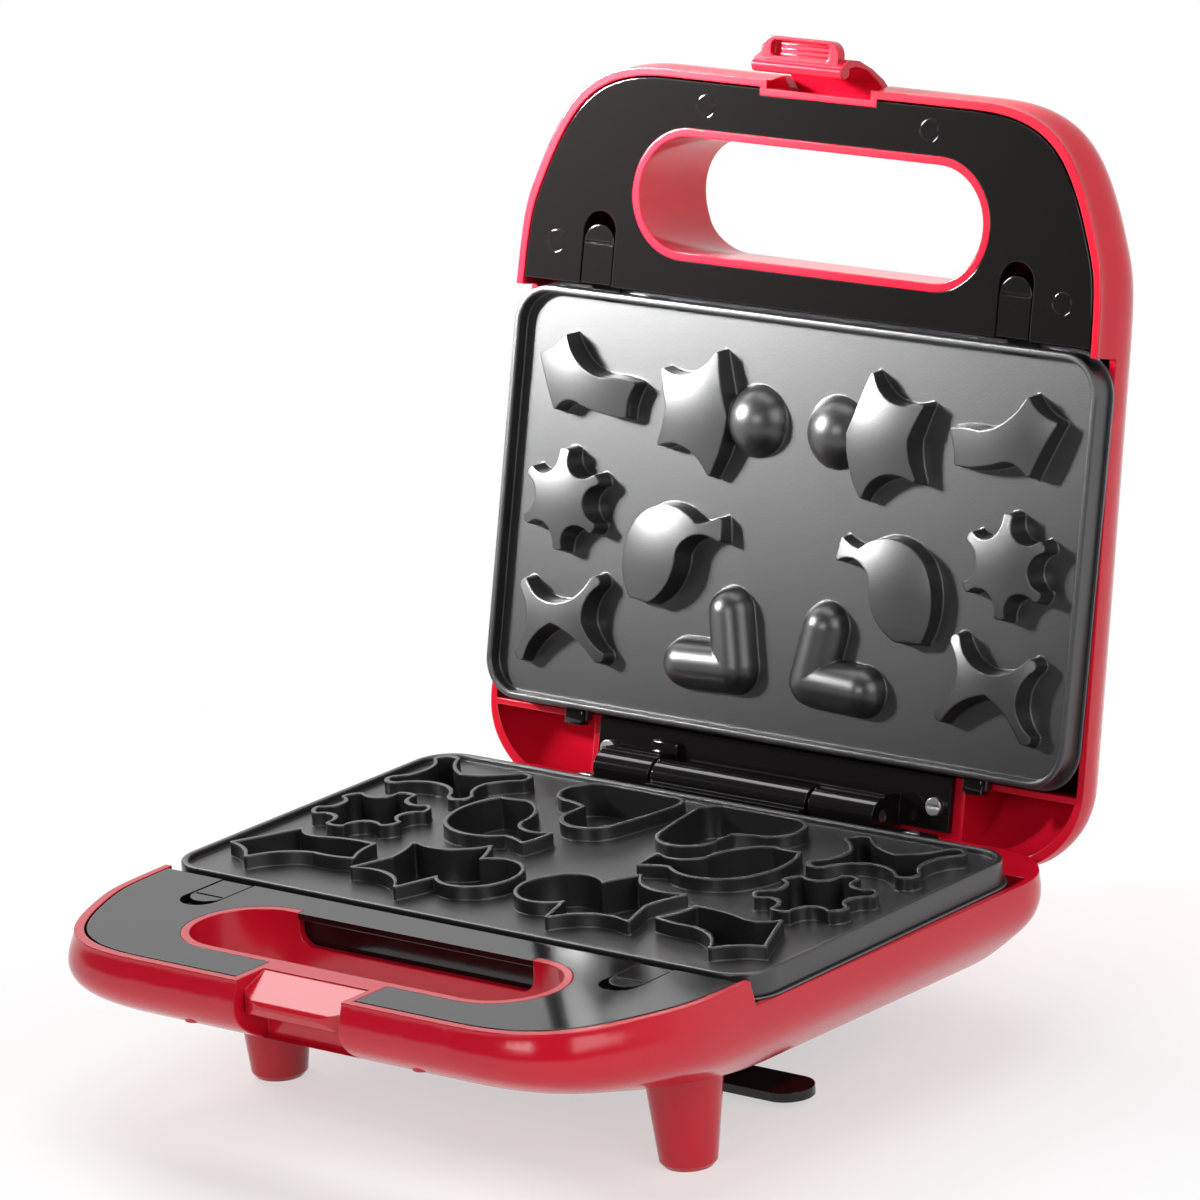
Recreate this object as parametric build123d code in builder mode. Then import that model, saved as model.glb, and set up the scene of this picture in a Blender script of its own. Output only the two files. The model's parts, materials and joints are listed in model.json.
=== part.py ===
from build123d import *
import os
from math import cos, radians, sin

# Snack maker with shaped plates: two moulded shells on a rear hinge, each with a coated plate.
# Millimetres, +Z up, +X to the right, the hinge at the back. The base stands on z = 0.

os.makedirs("parts", exist_ok=True)

# Driving dimensions
FOOT_HEIGHT = 66.5         # table to the mating plane of the two halves
PLATE_FRONT = -76.61       # y of the plates' front edge
PLATE_WIDTH = 230.0
PLATE_DEPTH = 134.6
OPEN_ANGLE = 103.1         # how far the lid stands open
HINGE_Y = 150.6            # hinge axis behind the plates' front edge
HINGE_DEPTH = 2.4          # hinge axis below the mating plane
WALL = 2.5                 # moulded shell wall
BASE_RIM = 1.1             # base cover below the mating plane
LID_RIM = -0.6             # lid cover, just over the mating plane's other side

# Each half is drawn in its own frame: local z runs from the mating plane into the half,
# local y from the handle to the hinge, with y = 0 at the plate's front edge.
BASE = Plane(origin=(0, PLATE_FRONT, FOOT_HEIGHT), x_dir=(-1, 0, 0), z_dir=(0, 0, -1))
SWING = radians(OPEN_ANGLE)
HINGE = Vector(0, PLATE_FRONT + HINGE_Y, FOOT_HEIGHT - HINGE_DEPTH)
LID_ORIGIN = HINGE + Vector(
    0,
    -HINGE_Y * cos(SWING) + HINGE_DEPTH * sin(SWING),
    HINGE_Y * sin(SWING) + HINGE_DEPTH * cos(SWING),
)
LID = Plane(origin=LID_ORIGIN, x_dir=(1, 0, 0), z_dir=(0, sin(SWING), cos(SWING)))
# The lid's side view: local x is the lid's y, local y its depth.
LID_SIDE = Plane(origin=LID_ORIGIN, x_dir=LID.y_dir, z_dir=(1, 0, 0))
# The base's side view: local x is the half's y, local y is height above the mating plane.
BASE_SIDE = Plane(origin=BASE.origin, x_dir=(0, 1, 0), z_dir=(1, 0, 0))

# Plan outline of both shells at the rim, right half, from the front centre to the back centre
FRONT = -73.4
BACK = 160.0
HALF_WIDTH = 117.5
FRONT_FLAT = 62.0
REAR_FLAT = 90.0
CORNER_POINTS = [(96.5, -61.5), (110.3, -35.0)]
SIDE_FRONT = (114.8, 0.0)
SIDE_BACK = (117.5, 133.0)
REAR_CORNER = (109.6, 152.2)

# Levels of the shells: depth, half width, front, back
BASE_LEVELS = [
    (BASE_RIM, 117.3, -73.4, 157.0),
    (8.0, 118.9, -75.2, 157.0),
    (14.0, 119.4, -74.2, 157.0),
    (20.0, 118.0, -67.5, 156.4),
    (26.0, 113.6, -52.0, 153.4),
    (32.0, 107.0, -33.0, 148.5),
    (38.0, 96.5, -13.0, 139.5),
    (41.5, 84.0, 2.0, 129.0),
]
LID_LEVELS = [
    (LID_RIM, 117.3, -73.4, 160.0),
    (8.0, 118.0, -74.8, 161.0),
    (14.0, 118.0, -74.3, 161.0),
    (20.0, 115.4, -70.2, 158.6),
    (26.0, 109.8, -61.5, 154.2),
    (31.0, 101.5, -49.5, 147.4),
    (35.0, 89.5, -33.0, 137.6),
    (37.0, 76.0, -17.0, 127.0),
]
BASE_DEEP = BASE_LEVELS[-1][0]
LID_DEEP = LID_LEVELS[-1][0]

# Handle opening: a stadium with its own wall
SLOT_Y = -34.3
SLOT_LENGTH = 140.6
SLOT_WIDTH = 42.0
SLOT_WALL = 2.6
APRON_HALF = 46.0
APRON_Y = -13.0
WINDOW_DEEP = 11.4

# Latch seats, the catch bar and the latch
NOTCH_HALF = 20.5
NOTCH_BACK = -60.6
NOTCH_DEEP = 22.0
SEAT_BACK = -68.2
RECESS_BACK = -62.8
RECESS_DEEP = 19.2
BAR_PROFILE = [
    (-59.0, -1.5), (-60.6, -1.5), (-73.2, -6.5), (-74.1, -7.4), (-74.1, -8.7), (-72.6, -11.2),
    (-70.6, -12.4), (-59.0, -12.4),
]
BAR_PLAN = [(15.5, -73.2), (20.5, -69.5)]
LATCH_HALF = 17.5
PIVOT = (-66.4, 16.2)
PIVOT_RADIUS = 2.4
LATCH_PIN = 1.2

# Covers and plate clips
COVER_BACK = -2.0
COVER_THICK = 2.0
CLIP_X = 82.2
CLIP_WIDTH = 12.0
CLIP_SLOT = 13.2
CLIP_SLOT_END = -26.0
CLIP_END = -21.5
FIT = 0.15
EDGE_GAP = 0.75
SCREW_SPOTS = [(-44.0, -63.0), (44.0, -63.0), (-99.8, -14.8), (99.8, -14.8)]

# Plates
RIM_TOP = 0.2
RIM_WIDTH = 2.2
RIM_ROUND = 0.7
LOWER_TRAY = 2.2
UPPER_TRAY = 4.4
SKIRT_DEPTH = 7.6
CAST = 2.4
PLATE_CORNER = 13.0
DOME_TOP = -3.7
DOME_SPREAD = 1.3
CROWN = 75.0
HEAD_BALL = 12.4
CAVITY_DEPTH = 8.6
RIDGE_HEIGHT = 4.4
RIDGE_OUT = 2.9
RIDGE_IN = 1.6

# Heat shields, heaters and controls
SHIELD_LIP = 1.2
SHIELD_TOP = 7.8
SHIELD_FLOOR = 21.0
SHEET = 0.6
SHIELD_SIDE, SHIELD_END = 9.0, 7.0
SHIELD_CORNER = 8.0
HEATER_DEPTH = 14.9
HEATER_RADIUS = 3.2
HEATER_PATH = [(-10, 112), (-96, 112), (-96, 22), (96, 22), (96, 112), (10, 112)]
SHIELD_SCREWS = [(-60.0, 20.0), (60.0, 20.0), (-60.0, 116.0), (60.0, 116.0)]
THERMOSTAT_Y = 66.0

# Hinge, along the depth of each half: the axis lies 2.4 into the base
BARREL = 5.6
HINGE_PIN = 2.0
DECK = 8.5
DECK_THICK = 2.2
LEAF_FRONT, LEAF_BACK = 136.3, 153.6
RIB_X = 70.6
RIB_THICK = 3.4
WELL_BACK = 136.3

# Supports
FOOT_X, FOOT_Y = 80.8, 8.9
WRAP_HALF = 38.0
WRAP_FRONT, WRAP_BACK = 56.0, 150.0
TONGUE_Y = 67.3
TONGUE_REACH = 82.0
TONGUE_WIDTH = 17.0


MIDDLE = (-37.0, 24.5)
LEFT_BARREL = (-60.5, -38.3)
RIGHT_BARREL = (26.0, 51.0)
HINGE_SCREWS = [(-65.0, 146.0), (65.0, 146.0)]
GLAND_X = 62.0
GLAND_DEPTH = 19.5
GLAND_RADIUS = 5.0
WRAP_FEET = [(-27.0, 139.0), (27.0, 139.0)]
WRAP_SCREWS = [(0.0, 66.0), (0.0, 116.0)]
LENS_SPOTS = [(-9.0, 4.0), (9.0, 4.0)]
LENS_RADIUS = 4.0
LATCH_PROFILE = [
    (-67.6, 13.8), (-71.4, 11.6), (-75.4, 7.5), (-79.3, 0.6), (-80.4, -5.9), (-79.4, -8.9),
    (-78.2, -11.2), (-80.0, -12.6), (-82.3, -9.0), (-82.2, -4.0), (-79.8, 3.2), (-76.7, 9.5),
    (-72.4, 14.8), (-69.4, 16.6), (-67.6, 18.2),
]
LATCH_LIP = (-78.2, -11.2)
LIP_RADIUS = 2.2
TAB_Y = -82.0
TAB_SIZE = (30.0, 11.2)
POCKET_Y = -83.9
POCKET_SIZE = (23.0, 5.0)
TAB_DEPTH = (-12.0, -8.6)


def level(half_width, front, back):
    """One level of a shell in the current sketch, scaled from the rim's outline."""
    scale_x = half_width / HALF_WIDTH
    scale_y = (back - front) / (BACK - FRONT)

    def at(x, y):
        return (x * scale_x, front + (y - FRONT) * scale_y)

    corner = [at(FRONT_FLAT, FRONT)] + [at(*p) for p in CORNER_POINTS] + [at(*SIDE_FRONT)]
    rear = [at(*SIDE_BACK), at(*REAR_CORNER), at(REAR_FLAT, BACK)]
    way = (rear[0][0] - corner[-1][0], rear[0][1] - corner[-1][1])
    with BuildLine() as outline:
        Line(at(0, FRONT), corner[0])
        Spline(*corner, tangents=[(1, 0), way])
        Line(corner[-1], rear[0])
        Spline(*rear, tangents=[way, (-1, 0)])
        Line(rear[-1], at(0, BACK))
        mirror(about=Plane.YZ)
    make_face(outline.edges())


def form(frame, levels, inset=0.0, mode=Mode.ADD):
    """Lofts a shell's outer form, or with an inset its hollow, in the current part."""
    first, last = levels[0][0], levels[-1][0]
    sections = []
    for depth, half_width, front, back in levels:
        inner = first + (depth - first) * (last - inset - first) / (last - first)
        with BuildSketch(frame.offset(inner)) as section:
            level(half_width - inset, front + inset, back - inset)
        sections.append(section.sketch)
    loft(sections=sections, mode=mode)


def slab(frame, x, y, depth, mode=Mode.ADD, radius=0.0):
    """A block given by its ranges in a half's frame, with optional round corners in plan."""
    with BuildSketch(frame.offset(depth[0])) as flat:
        with Locations(((x[0] + x[1]) / 2, (y[0] + y[1]) / 2)):
            if radius:
                RectangleRounded(x[1] - x[0], y[1] - y[0], radius)
            else:
                Rectangle(x[1] - x[0], y[1] - y[0])
    extrude(flat.sketch, amount=depth[1] - depth[0], mode=mode)


def rods(frame, spots, radius, depth, mode=Mode.ADD):
    """Round pillars or holes along a half's depth."""
    with BuildSketch(frame.offset(depth[0])) as flat:
        with Locations(*spots):
            Circle(radius)
    extrude(flat.sketch, amount=depth[1] - depth[0], mode=mode)


def stadium(frame, grow, depth, mode=Mode.ADD):
    """A block with the plan of the handle opening, grown all round."""
    with BuildSketch(frame.offset(depth[0])) as flat:
        with Locations((0, SLOT_Y)):
            SlotOverall(SLOT_LENGTH + 2 * grow, SLOT_WIDTH + 2 * grow)
    extrude(flat.sketch, amount=depth[1] - depth[0], mode=mode)


def beam(side_plane, x, points, mode=Mode.ADD):
    """A side-view outline stretched across the given range of x."""
    with BuildSketch(side_plane.offset(x[0])) as flat:
        with BuildLine() as outline:
            Polyline(*points, close=True)
        make_face(outline.edges())
    extrude(flat.sketch, amount=x[1] - x[0], mode=mode)


def spindle(side_plane, x, centre, radius, mode=Mode.ADD):
    """A cylinder across x, placed in the side view."""
    with BuildSketch(side_plane.offset(x[0])) as flat:
        with Locations(centre):
            Circle(radius)
    extrude(flat.sketch, amount=x[1] - x[0], mode=mode)


# Solid outer forms, used to trim what stands inside the shells
with BuildPart() as base_form:
    form(BASE, BASE_LEVELS)
with BuildPart() as lid_form:
    form(LID, LID_LEVELS)


# Motifs of the raised shapes, left half, millimetres in the plate's frame. Each outline is a
# ring of arcs: a tip, the middle of the arc that leaves it, the next tip and so on.
BOOT = [
    (-101.8, 21.9), (-96.6, 20.0), (-91.3, 14.6), (-84.5, 23.4), (-75.0, 27.2), (-68.6, 27.0),
    (-62.6, 28.0), (-64.9, 33.0), (-65.4, 38.4), (-76.5, 37.8), (-83.6, 35.8), (-88.6, 35.6),
    (-93.5, 39.6), (-97.3, 31.0),
]
TURTLE = [
    (-52.2, 20.8), (-40.6, 22.6), (-30.8, 13.2), (-27.6, 24.0), (-24.0, 34.0), (-25.6, 43.0),
    (-30.4, 53.6), (-38.0, 45.4), (-52.0, 47.2), (-48.2, 38.4), (-47.6, 33.0), (-49.4, 27.6),
]
FISH = [
    (-32.5, 69.4), (-28.4, 68.6), (-24.4, 66.6), (-23.7, 70.3), (-23.4, 74.0), (-33.0, 72.6),
    (-38.6, 79.0), (-41.6, 89.6), (-49.5, 96.0), (-53.6, 95.4), (-57.4, 95.4), (-60.7, 83.6),
    (-56.9, 71.0), (-47.0, 65.2),
]
BOW = [
    (-99.4, 95.8), (-92.6, 100.6), (-86.0, 101.4), (-79.2, 99.2), (-73.4, 92.4), (-71.4, 91.6),
    (-70.6, 93.8), (-74.6, 100.6), (-74.6, 106.6), (-71.4, 111.4), (-66.8, 115.2),
    (-66.8, 117.2), (-69.0, 117.8), (-77.4, 110.8), (-86.4, 107.6), (-92.8, 111.8),
    (-98.8, 120.2), (-100.8, 120.8), (-101.8, 118.8), (-96.8, 108.2), (-101.6, 98.2),
    (-101.6, 96.2),
]
HEART = [
    (-27.4, 103.8), (-27.2, 99.4), (-27.2, 94.6), (-18.8, 87.3), (-10.9, 93.2), (-8.2, 104.8),
    (-6.4, 116.6), (-7.4, 120.3), (-11.4, 121.6), (-24.0, 121.9), (-37.0, 121.8), (-43.5, 114.4),
    (-38.4, 106.9), (-32.6, 105.9),
]
LOBE_CORNER = (-15.2, 113.2)
LOBE_ENDS = [(-18.8, 95.7), (-35.1, 113.9)]
LOBE_RADIUS = 8.3
STAR_CENTRE = (-87.8, 67.8)
STAR_ARMS = 6
STAR_TIP = 15.6
STAR_WAIST = 9.4
HEAD_CENTRE = (-15.8, 34.4)
HEAD_RADII = (10.6, 12.0)


def star_points():
    """Six arms with round ends and hollow sides, one arm towards the handle."""
    points = []
    for arm in range(STAR_ARMS):
        for reach, aside in ((STAR_TIP, -6), (STAR_TIP + 0.5, 0), (STAR_TIP, 6), (STAR_WAIST, 30)):
            turn = radians(aside - 90 + arm * 360 / STAR_ARMS)
            x, y = reach * cos(turn), reach * sin(turn)
            points.append((STAR_CENTRE[0] + x, STAR_CENTRE[1] + y))
    return points


TIP_RADIUS = 0.8
OUTLINES = {
    "boot": BOOT,
    "turtle": TURTLE,
    "star": star_points(),
    "fish": FISH,
    "bow": BOW,
    "heart": HEART,
}


def grown(points, by):
    """Moves the sides of a counter-clockwise outline outwards by the same distance."""
    moved = []
    for before, here, after in zip(points[-1:] + points[:-1], points, points[1:] + points[:1]):
        first = (Vector(*here) - Vector(*before)).normalized()
        second = (Vector(*after) - Vector(*here)).normalized()
        way = (Vector(first.Y, -first.X) + Vector(second.Y, -second.X)).normalized()
        reach = min(by / way.dot(Vector(first.Y, -first.X)), 1.5 * by)
        moved.append((here[0] + way.X * reach, here[1] + way.Y * reach))
    return moved


def motif(name, grow, side):
    """One motif grown outwards; side 1 keeps the outline as listed, side -1 mirrors it."""
    with BuildSketch() as flat:
        if name == "head":
            with Locations((side * HEAD_CENTRE[0], HEAD_CENTRE[1])):
                Ellipse(HEAD_RADII[0] + grow, HEAD_RADII[1] + grow)
        else:
            points = [(side * x, y) for x, y in OUTLINES[name]]
            turns = zip(points, points[1:] + points[:1])
            if sum(a[0] * b[1] - b[0] * a[1] for a, b in turns) < 0:
                points = points[:1] + points[:0:-1]
            points = grown(points, grow)
            ends = points[2::2] + points[:1]
            with BuildLine() as outline:
                for tip, middle, end in zip(points[::2], points[1::2], ends):
                    ThreePointArc(tip, middle, end)
            make_face(outline.edges())
            fillet(flat.vertices(), radius=TIP_RADIUS)
    return flat.sketch


def motif_field(frame, grow, depth, mode=Mode.ADD):
    """All the motifs of both halves of a plate as blocks between two depths."""
    with BuildSketch(frame.offset(depth[0])) as flat:
        for name in list(OUTLINES) + ["head"]:
            add(motif(name, grow, 1))
            add(motif(name, grow, -1))
    extrude(flat.sketch, amount=depth[1] - depth[0], mode=mode)


def dome(frame, name, side):
    """One raised shape: wider at its foot, with a crowned top."""
    reach = [x for x, y in OUTLINES[name]], [y for x, y in OUTLINES[name]]
    centre = [(min(values) + max(values)) / 2 for values in reach]
    with BuildSketch(frame.offset(DOME_TOP - 1)) as top:
        add(motif(name, 0.0, side))
    with BuildSketch(frame.offset(UPPER_TRAY + 1)) as foot:
        add(motif(name, DOME_SPREAD, side))
    with BuildPart() as raised:
        loft(sections=[top.sketch, foot.sketch], ruled=True)
        spot = frame.offset(DOME_TOP + CROWN).location * Pos(side * centre[0], centre[1])
        with Locations(spot):
            Sphere(CROWN, rotation=(90, 0, 0), mode=Mode.INTERSECT)
    add(raised.part)


def head(frame, side):
    """The small round dome beside the body."""
    spot = frame.offset(DOME_TOP + HEAD_BALL).location * Pos(side * HEAD_CENTRE[0], HEAD_CENTRE[1])
    with BuildPart() as raised:
        with Locations(spot):
            Sphere(HEAD_BALL, rotation=(90, 0, 0))
        slab(frame, (-40, 40), (0, 60), (UPPER_TRAY + 1, 40), Mode.SUBTRACT)
    add(raised.part)


def heart(frame, side):
    """Two round lobes that meet in a corner, like half tubes with ball ends."""
    depth = DOME_TOP + LOBE_RADIUS
    corner = frame.from_local_coords((side * LOBE_CORNER[0], LOBE_CORNER[1], depth))
    with BuildPart() as raised:
        with Locations(corner):
            Sphere(LOBE_RADIUS)
        for x, y in LOBE_ENDS:
            end = frame.from_local_coords((side * x, y, depth))
            along = end - corner
            with BuildSketch(Plane(origin=corner, z_dir=along)) as round_section:
                Circle(LOBE_RADIUS)
            extrude(round_section.sketch, amount=along.length)
            with Locations(end):
                Sphere(LOBE_RADIUS)
        slab(frame, (-60, 60), (60, 130), (UPPER_TRAY + 1, 40), Mode.SUBTRACT)
    add(raised.part)


def plate_blank(frame, surface):
    """Rim, tray and skirt of a cast plate; surface is the depth of its tray."""
    width = (-PLATE_WIDTH / 2, PLATE_WIDTH / 2)
    length = (0, PLATE_DEPTH)

    def inset(by):
        return (width[0] + by, width[1] - by), (length[0] + by, length[1] - by)

    slab(frame, width, length, (RIM_TOP, SKIRT_DEPTH), radius=PLATE_CORNER)
    slab(frame, *inset(RIM_WIDTH), (RIM_TOP, surface), Mode.SUBTRACT, PLATE_CORNER - RIM_WIDTH)
    rim = [e for e in edges() if abs(frame.to_local_coords(e.center()).Z - RIM_TOP) < 0.001]
    fillet(rim, radius=RIM_ROUND)
    under = (surface + CAST, SKIRT_DEPTH)
    slab(frame, *inset(CAST), under, Mode.SUBTRACT, PLATE_CORNER - CAST)


def plate_fixings(frame, surface):
    """Rear lugs, thermostat bosses and the two front windows that the clips' noses enter."""
    for side in (-1, 1):
        lug = sorted((side * 75.0, side * 84.0))
        slab(frame, lug, (PLATE_DEPTH - 1.0, 138.6), (5.2, SKIRT_DEPTH))
        centre = side * CLIP_X
        window = (centre - CLIP_WIDTH / 2 - 0.5, centre + CLIP_WIDTH / 2 + 0.5)
        slab(frame, window, (-1.0, CAST + 0.2), (4.0, SKIRT_DEPTH + 1), Mode.SUBTRACT)
    spots = [(0, THERMOSTAT_Y - 16), (0, THERMOSTAT_Y + 16)]
    rods(frame, spots, 3.2, (surface + 0.5, 11.3))
    rods(frame, spots, 1.3, (surface + CAST, 11.3), Mode.SUBTRACT)


# Lower plate: shallow tray with twelve walled cavities
with BuildPart() as lower_plate:
    plate_blank(BASE, LOWER_TRAY)
    ridge_top = LOWER_TRAY - RIDGE_HEIGHT
    motif_field(BASE, RIDGE_OUT, (ridge_top, CAVITY_DEPTH + CAST))
    motif_field(BASE, RIDGE_IN, (ridge_top - 1, CAVITY_DEPTH), Mode.SUBTRACT)
    plate_fixings(BASE, LOWER_TRAY)
lower_plate.part.label = "lower_plate"
export_step(lower_plate.part, "parts/lower_plate.step")

# Upper plate: the matching raised shapes
with BuildPart() as upper_plate:
    plate_blank(LID, UPPER_TRAY)
    for side in (-1, 1):
        for name in OUTLINES:
            if name != "heart":
                dome(LID, name, side)
        heart(LID, side)
        head(LID, side)
    plate_fixings(LID, UPPER_TRAY)
upper_plate.part.label = "upper_plate"
export_step(upper_plate.part, "parts/upper_plate.step")


def stiffening(frame, rim, deep, solid_form, seats, deck):
    """Walls and bosses inside a shell, trimmed to its outer form."""
    with BuildPart() as walls:
        stadium(frame, 0.0, (rim, deep))
        for back, top, low in seats:
            slab(frame, (-NOTCH_HALF - 2.4, NOTCH_HALF + 2.4), (-90, back), (top, low))
        slab(frame, (-120, 120), (WELL_BACK, WELL_BACK + 2), (DECK, deep))
        slab(frame, (-deck, deck), (WELL_BACK, 170), (DECK, DECK + DECK_THICK))
        for side in (-1, 1):
            rib = sorted((side * RIB_X, side * (RIB_X + RIB_THICK)))
            slab(frame, rib, (WELL_BACK, 170), (DECK, deep))
        rods(frame, SHIELD_SCREWS, 4.2, (SHIELD_FLOOR + SHEET, deep))
        add(solid_form.part, mode=Mode.INTERSECT)
    return walls.part


def bosses(frame, spots, radius, depth, solid_form):
    """Screw pillars that end at a shell's outer form."""
    with BuildPart() as pillars:
        rods(frame, spots, radius, depth)
        add(solid_form.part, mode=Mode.INTERSECT)
    return pillars.part


def shell(frame, levels, solid_form, seats, deck):
    """A moulded shell with an open rim, its well for the plate and its inner walls."""
    rim, deep = levels[0][0], levels[-1][0]
    form(frame, levels)
    form(frame, levels, WALL, Mode.SUBTRACT)
    slab(frame, (-130, 130), (0.6, 180), (rim - 2, DECK), Mode.SUBTRACT)
    add(stiffening(frame, rim, deep, solid_form, seats, deck))
    stadium(frame, -SLOT_WALL, (rim - 1, deep + 1), Mode.SUBTRACT)
    rods(frame, SHIELD_SCREWS, 1.45, (SHIELD_FLOOR - 1, 34.0), Mode.SUBTRACT)


def cover(frame, levels, grow):
    """A flat cover inside a shell's rim with the handle opening and the guides of two clips."""
    depth, half_width, front, back = levels[0]
    under = depth + COVER_THICK
    with BuildSketch(frame.offset(depth)) as flat:
        level(half_width - WALL - EDGE_GAP, front + WALL + EDGE_GAP, back - WALL - EDGE_GAP)
        with Locations((0, COVER_BACK + 100)):
            Rectangle(300, 200, mode=Mode.SUBTRACT)
    extrude(flat.sketch, amount=COVER_THICK)
    slab(frame, (-111, 111), (COVER_BACK - 2, COVER_BACK), (depth, SKIRT_DEPTH))
    for side in (-1, 1):
        centre = side * CLIP_X
        opening = (centre - CLIP_SLOT / 2, centre + CLIP_SLOT / 2)
        for way in (-1, 1):
            guide = sorted((centre + way * 9.1, centre + way * 11.3))
            lip = sorted((centre + way * 6.5, centre + way * 11.3))
            slab(frame, guide, (-27, COVER_BACK - 2), (under, 7.0))
            slab(frame, lip, (-27, COVER_BACK - 2), (5.5, 7.0))
        slab(frame, opening, (CLIP_SLOT_END + 6, 1), (depth - 1, under + 0.2), Mode.SUBTRACT)
        rods(frame, [(centre, CLIP_SLOT_END + 6.6)], 6.6, (depth - 1, under + 0.2), Mode.SUBTRACT)
        slab(frame, (centre - 9.1, centre + 9.1), (-5, 1), (under, 12), Mode.SUBTRACT)
    stadium(frame, grow, (depth - 1, 12), Mode.SUBTRACT)


def clip(frame, side, depth):
    """A sliding latch: thumb pad in the cover's slot, flange beneath it and the nose."""
    centre = side * CLIP_X
    half = CLIP_WIDTH / 2
    slab(frame, (centre - half, centre + half), (CLIP_END + half, -2.4), (depth + 0.1, 3.4))
    rods(frame, [(centre, CLIP_END + half)], half, (depth + 0.1, 3.4))
    slab(frame, (centre - 8.6, centre + 8.6), (CLIP_END + 1, -4.6), (3.3, 5.2))
    slab(frame, (centre - 5.6, centre + 5.6), (-16, 1.9), (5.1, 6.6))
    groove = (centre - half + 0.8, centre + half - 0.8)
    slab(frame, groove, (-16.2, -15.2), (depth - 1, depth + 0.7), Mode.SUBTRACT)


def heat_shield(frame):
    """A pressed tray whose lip runs round the plate, with a rear hook over each plate lug."""
    top = SHIELD_TOP
    lip = ((-115 - SHIELD_LIP, 115 + SHIELD_LIP), (-SHIELD_LIP, PLATE_DEPTH + SHIELD_LIP))
    side, end = 115 - SHIELD_SIDE, PLATE_DEPTH - SHIELD_END
    tray = ((-side, side), (SHIELD_END, end))
    hole = tuple((a + SHEET, b - SHEET) for a, b in tray)
    slab(frame, *lip, (top, top + SHEET), radius=PLATE_CORNER + SHIELD_LIP)
    slab(frame, *tray, (top, SHIELD_FLOOR + SHEET), radius=SHIELD_CORNER)
    slab(frame, *hole, (top - 1, SHIELD_FLOOR), Mode.SUBTRACT, SHIELD_CORNER - SHEET)
    rods(frame, SHIELD_SCREWS, 1.7, (SHIELD_FLOOR - 1, SHIELD_FLOOR + 2), Mode.SUBTRACT)
    rods(frame, [(-10, 112), (10, 112)], 4.5, (SHIELD_FLOOR - 1, SHIELD_FLOOR + 2), Mode.SUBTRACT)
    rods(frame, [(0, THERMOSTAT_Y)], 10.0, (SHIELD_FLOOR - 1, SHIELD_FLOOR + 2), Mode.SUBTRACT)
    back = PLATE_DEPTH + SHIELD_LIP
    for side in (-1, 1):
        width = sorted((side * 76.5, side * 82.5))
        slab(frame, width, (back - 1, 139.6), (top, top + SHEET))
        slab(frame, width, (139.0, 139.6), (4.2, top + SHEET))
        slab(frame, width, (135.3, 139.6), (4.2, 4.8))


def heater(frame):
    """A bent tube under the plate with two terminal pins through the shield's floor."""
    with BuildLine(frame.offset(HEATER_DEPTH)) as path:
        FilletPolyline(*HEATER_PATH, radius=12)
    with BuildSketch(Plane(origin=path.line @ 0, z_dir=path.line % 0)) as bore:
        Circle(HEATER_RADIUS)
    sweep(bore.sketch, path=path.line)
    for side in (-1, 1):
        rods(frame, [(side * 10, 112)], 3.2, (HEATER_DEPTH, 27.0))
        rods(frame, [(side * 10, 112)], 1.2, (27.0, 33.0))


def thermostat(frame):
    """A round disc thermostat on a two-hole strap with a pair of terminal tabs."""
    y = THERMOSTAT_Y
    slab(frame, (-5, 5), (y - 20, y + 20), (11.4, 12.4), radius=4.9)
    rods(frame, [(0, y - 16), (0, y + 16)], 1.5, (11, 13), Mode.SUBTRACT)
    rods(frame, [(0, y)], 8.5, (12.4, 21.0))
    for side in (-1, 1):
        slab(frame, (side * 4 - 0.4, side * 4 + 0.4), (y - 3, y + 3), (21.0, 29.0))


def screws(frame, spots, head_depth, length, radius=1.3, head=2.9):
    """Pan-head screws going into a half's depth."""
    rods(frame, spots, head, (head_depth - 1.9, head_depth))
    rods(frame, spots, radius, (head_depth, head_depth + length))
    slot_depth = (head_depth - 2.5, head_depth - 1.2)
    for x, y in spots:
        slab(frame, (x - 2.2, x + 2.2), (y - 0.4, y + 0.4), slot_depth, Mode.SUBTRACT)


def gland(radius, y, mode=Mode.ADD):
    """A round piece through the base's rear wall."""
    start = BASE.from_local_coords((-GLAND_X, y[0], GLAND_DEPTH))
    with BuildSketch(Plane(origin=start, z_dir=(0, 1, 0))) as bore:
        Circle(radius)
    extrude(bore.sketch, amount=y[1] - y[0], mode=mode)


def lens(spot):
    """A domed lens with a flange under the lid's top."""
    rods(LID, [spot], LENS_RADIUS, (33.4, LID_DEEP + 0.6))
    rods(LID, [spot], LENS_RADIUS + 1.2, (32.6, LID_DEEP - WALL - 0.05))


def catch_bar():
    """The nosed bar across the base's latch seat, curved in plan like the rim in front."""
    with BuildPart() as bar:
        beam(BASE_SIDE, (-NOTCH_HALF - 1, NOTCH_HALF + 1), BAR_PROFILE)
        with BuildSketch(BASE.offset(1)) as plan:
            with BuildLine() as edge:
                left = [(-x, y) for x, y in reversed(BAR_PLAN)]
                front = left + [(-4, -74.1), (4, -74.1)] + BAR_PLAN
                Polyline((21.5, -62), (21.5, -58), (-21.5, -58), (-21.5, -62), front[0])
                Spline(*front)
                Line(front[-1], (21.5, -62))
            make_face(edge.edges())
        extrude(plan.sketch, amount=17, mode=Mode.INTERSECT)
    return bar.part


def window():
    """The opening in the slot's rear wall, with round lower corners, for the cover's apron."""
    start = BASE.from_local_coords((0, -17.0, 0.0))
    with BuildPart() as opening:
        with BuildSketch(Plane(origin=start, x_dir=(1, 0, 0), z_dir=(0, 1, 0))) as face:
            RectangleRounded(2 * APRON_HALF, 2 * WINDOW_DEEP, 5.0)
        extrude(face.sketch, amount=3.9)
    return opening.part


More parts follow.
